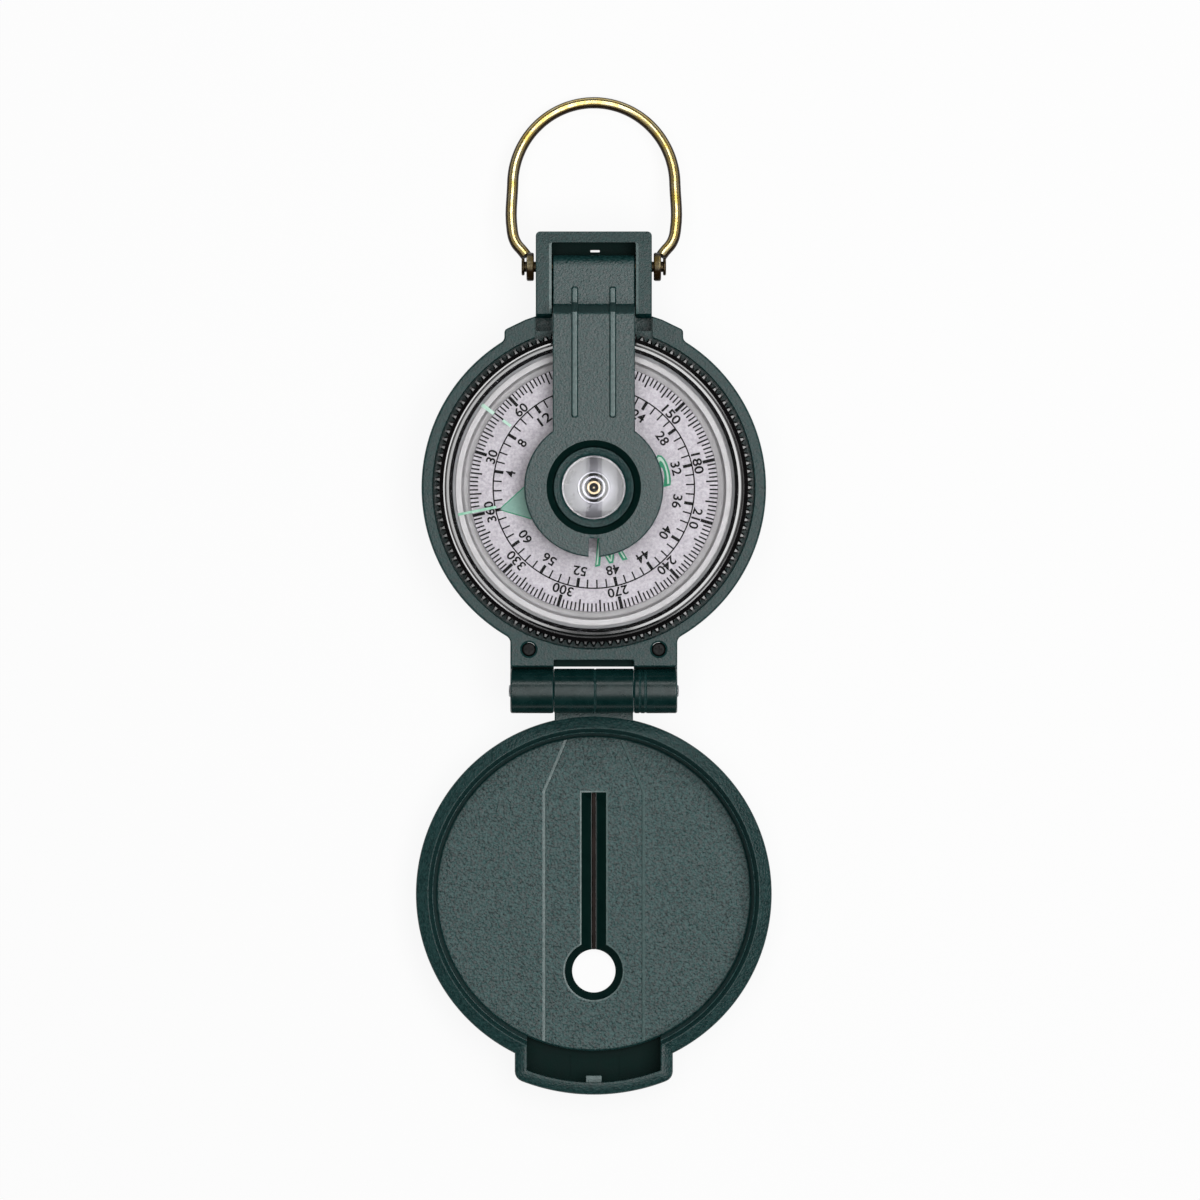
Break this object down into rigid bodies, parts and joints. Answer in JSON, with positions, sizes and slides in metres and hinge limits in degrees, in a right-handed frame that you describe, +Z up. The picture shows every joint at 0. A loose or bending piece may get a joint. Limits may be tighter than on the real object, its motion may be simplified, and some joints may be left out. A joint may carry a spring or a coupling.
{
  "type": "lensatic compass",
  "caption": "Folding lensatic compass with a floating dial card, turning bezel, hinged sighting cover, folding magnifier eyepiece and wire thumb loop.",
  "frame": {"origin": "centre of the case's underside, on the dial axis", "axes": "+Z up out of the dial, +Y towards the thumb loop, -Y towards the opened cover"},
  "size_m": [0.0574, 0.1611, 0.0183],
  "materials": {
    "green_plastic": "satin moulded, grained on the cover's floor",
    "black_plastic": "gloss with a knurled edge",
    "white_plastic": "smooth",
    "clear_crystal": "polished",
    "clear_lens": "polished",
    "seal_rubber": "matt",
    "card_silver": "satin silver, printed",
    "magnet_metal": "dull",
    "jewel_brass": "turned",
    "steel": "plain",
    "blackened_metal": "blackened",
    "loop_brass": "bright"
  },
  "bodies": {
    "case": {"case_shell": "green_plastic", "base_plate": "green_plastic", "hinge_block": "green_plastic", "hinge_screw_left": "blackened_metal", "hinge_screw_right": "blackened_metal", "cover_hinge_pin": "steel", "eyepiece_pin": "steel", "bezel_snap_ring": "steel", "bezel_click_spring": "steel"},
    "bezel": {"bezel_ring": "black_plastic", "crystal": "clear_crystal", "crystal_seal": "seal_rubber", "capsule_cup": "white_plastic", "capsule_fill_plug": "white_plastic", "pivot_needle": "steel"},
    "card": {"dial_card": "card_silver", "card_hub": "card_silver", "card_magnet": "magnet_metal", "pivot_jewel": "jewel_brass"},
    "eyepiece": {"eyepiece_arm": "green_plastic", "eyepiece_lens": "clear_lens", "lens_retainer": "green_plastic"},
    "cover": {"cover_shell": "green_plastic", "sight_wire": "blackened_metal"},
    "thumb_loop": {"thumb_loop": "loop_brass"}
  },
  "joints": [
    {"name": "cover_hinge", "type": "hinge", "parent": "case", "child": "cover", "pos_m": [0, -0.03275, 0.0111], "axis": [-1, 0, 0], "range_deg": [0, 180]},
    {"name": "eyepiece_hinge", "type": "hinge", "parent": "case", "child": "eyepiece", "pos_m": [0, 0.0356, 0.0102], "axis": [-1, 0, 0], "range_deg": [0, 110]},
    {"name": "thumb_loop_swing", "type": "hinge", "parent": "case", "child": "thumb_loop", "pos_m": [0, 0.0356, 0.0102], "axis": [1, 0, 0], "range_deg": [-60, 110]},
    {"name": "bezel_turn", "type": "hinge", "parent": "case", "child": "bezel", "pos_m": [0, 0, 0.0135], "axis": [0, 0, 1], "continuous": true},
    {"name": "card_turn", "type": "hinge", "parent": "case", "child": "card", "pos_m": [0, 0, 0.0119], "axis": [0, 0, 1], "continuous": true}
  ]
}
